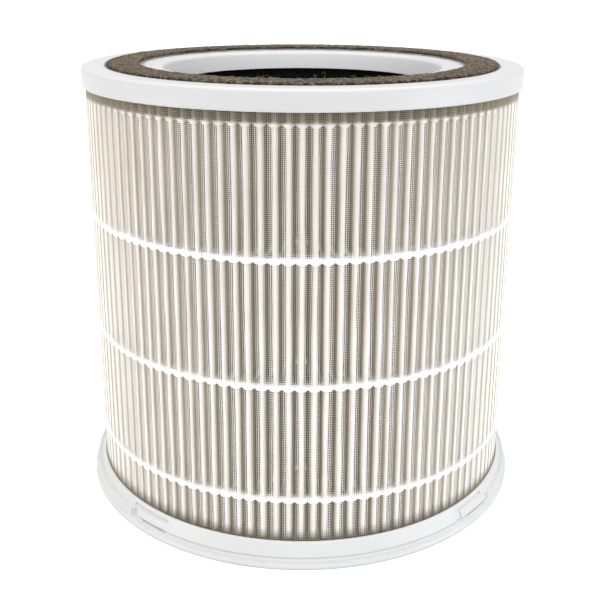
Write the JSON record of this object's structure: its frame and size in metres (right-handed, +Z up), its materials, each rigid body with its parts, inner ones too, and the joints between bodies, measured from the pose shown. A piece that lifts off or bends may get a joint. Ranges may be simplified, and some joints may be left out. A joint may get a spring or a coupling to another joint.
{
  "type": "air purifier filter cartridge",
  "caption": "Round replacement filter cartridge: pleated pack in a mesh sleeve around a carbon sleeve, between a gasketed open top cap and a closed flanged bottom cap.",
  "frame": {"origin": "centre of the bottom cap's flat underside, which the cartridge stands on", "axes": "+Z up the cartridge's axis towards the sealing gasket and the open end, -Y towards the front"},
  "size_m": [0.1878, 0.1878, 0.1789],
  "materials": {
    "white_plastic": "satin",
    "filter_paper": "matte",
    "nylon_mesh": "matte",
    "hot_melt_glue": "satin",
    "felt": "matte",
    "adhesive_film": "satin",
    "black_net": "matte",
    "activated_carbon": "matte"
  },
  "bodies": {
    "root": {"top_end_cap": "white_plastic", "bottom_end_cap": "white_plastic", "top_gasket": "felt", "gasket_adhesive": "adhesive_film", "top_potting": "hot_melt_glue", "bottom_potting": "hot_melt_glue", "pleated_media": "filter_paper", "prefilter_mesh": "nylon_mesh", "pleat_seam_strip": "hot_melt_glue", "outer_glue_bead_1": "hot_melt_glue", "outer_glue_bead_2": "hot_melt_glue", "outer_glue_bead_3": "hot_melt_glue", "outer_glue_bead_4": "hot_melt_glue", "inner_glue_bead_1": "hot_melt_glue", "inner_glue_bead_2": "hot_melt_glue", "inner_glue_bead_3": "hot_melt_glue", "inner_glue_bead_4": "hot_melt_glue", "carbon_outer_net": "black_net", "carbon_bed": "activated_carbon", "carbon_inner_net": "black_net"}
  },
  "joints": []
}
